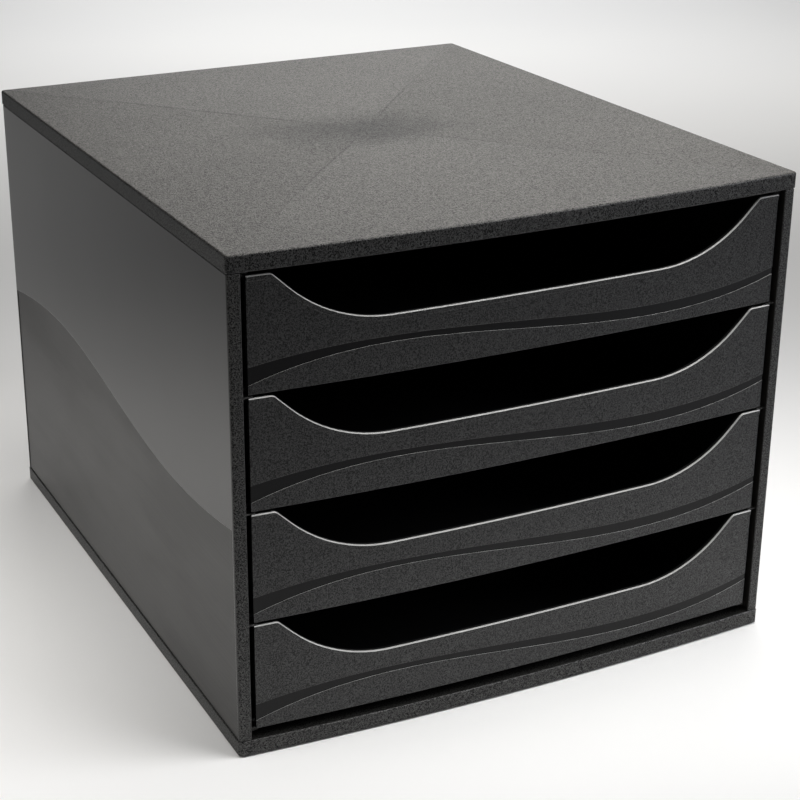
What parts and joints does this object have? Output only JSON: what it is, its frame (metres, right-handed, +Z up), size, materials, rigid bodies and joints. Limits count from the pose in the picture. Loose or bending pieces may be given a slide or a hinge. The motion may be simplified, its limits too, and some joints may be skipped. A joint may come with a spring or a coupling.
{
  "type": "desktop drawer unit",
  "caption": "Desktop letter drawer unit with slab top and base, polished wave-marked sides and bowed full-width drawers that slide out by a wide finger scoop.",
  "frame": {"origin": "centre of the plan on the surface the feet stand on", "axes": "+Z up; -Y towards the bowed front, where the drawers come out; +X to the right of someone who faces the front"},
  "size_m": [0.284, 0.336, 0.2363],
  "materials": {
    "casing_textured": "fine spark-eroded texture, black",
    "casing_polished": "polished black",
    "drawer_plastic": "fine texture with a polished wave band, black",
    "foot_rubber": "plain"
  },
  "bodies": {
    "casing": {"top_panel": "casing_textured", "base_panel": "casing_textured", "back_panel": "casing_textured", "left_side_panel": "casing_polished", "right_side_panel": "casing_polished", "left_front_foot": "foot_rubber", "left_rear_foot": "foot_rubber", "right_front_foot": "foot_rubber", "right_rear_foot": "foot_rubber"},
    "top_drawer": {"drawer_1": "drawer_plastic"},
    "second_drawer": {"drawer_2": "drawer_plastic"},
    "third_drawer": {"drawer_3": "drawer_plastic"},
    "bottom_drawer": {"drawer_4": "drawer_plastic"}
  },
  "joints": [
    {"name": "top_drawer_slide", "type": "slide", "parent": "casing", "child": "top_drawer", "axis": [0, -1, 0], "range_m": [0, 0.25]},
    {"name": "second_drawer_slide", "type": "slide", "parent": "casing", "child": "second_drawer", "axis": [0, -1, 0], "range_m": [0, 0.25]},
    {"name": "third_drawer_slide", "type": "slide", "parent": "casing", "child": "third_drawer", "axis": [0, -1, 0], "range_m": [0, 0.25]},
    {"name": "bottom_drawer_slide", "type": "slide", "parent": "casing", "child": "bottom_drawer", "axis": [0, -1, 0], "range_m": [0, 0.25]}
  ]
}
